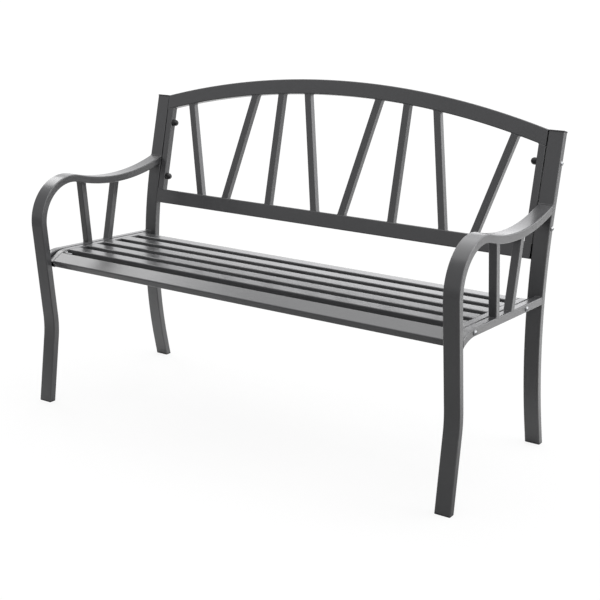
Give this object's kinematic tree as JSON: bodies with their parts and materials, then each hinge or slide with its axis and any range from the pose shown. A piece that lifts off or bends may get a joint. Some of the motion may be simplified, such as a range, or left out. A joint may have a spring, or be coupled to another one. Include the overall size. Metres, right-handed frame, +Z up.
{
  "type": "garden bench",
  "caption": "Steel tube garden bench with a slatted seat, looped arms and a flat back of slanted bars under an arched top rail.",
  "frame": {"origin": "on the floor, under the middle of the bench's bounding box", "axes": "+X to the right as seen from the front, along the bench's length; +Y to the back, so the front faces -Y; +Z up"},
  "size_m": [1.2794, 0.5688, 0.8699],
  "materials": {
    "paint": "satin charcoal powder coat",
    "foot_plastic": "matte black, moulded",
    "cap_plastic": "matte charcoal, moulded",
    "nut_cover": "black, moulded",
    "zinc": "bright zinc plated"
  },
  "bodies": {
    "root": {"left_rear_post": "paint", "right_rear_post": "paint", "left_front_leg": "paint", "right_front_leg": "paint", "left_side_rail": "paint", "right_side_rail": "paint", "left_arm_bar_front": "paint", "left_arm_bar_rear": "paint", "right_arm_bar_front": "paint", "right_arm_bar_rear": "paint", "left_front_foot": "foot_plastic", "right_front_foot": "foot_plastic", "left_rear_foot": "foot_plastic", "right_rear_foot": "foot_plastic", "left_post_cap": "cap_plastic", "right_post_cap": "cap_plastic", "seat_front_board": "paint", "seat_slat_1": "paint", "seat_slat_2": "paint", "seat_slat_3": "paint", "seat_slat_4": "paint", "seat_slat_5": "paint", "seat_end_rail_left": "paint", "seat_end_rail_right": "paint", "seat_brace": "paint", "back_top_rail": "paint", "back_bottom_rail": "paint", "back_stile_left": "paint", "back_stile_right": "paint", "back_bar_1": "paint", "back_bar_2": "paint", "back_bar_3": "paint", "back_bar_4": "paint", "back_bar_5": "paint", "back_bar_6": "paint", "back_bar_7": "paint", "back_bar_8": "paint", "back_bolts": "zinc", "back_washers": "zinc", "back_cap_nuts": "nut_cover", "seat_bolts": "zinc", "seat_washers": "zinc", "seat_nuts": "zinc"}
  },
  "joints": []
}
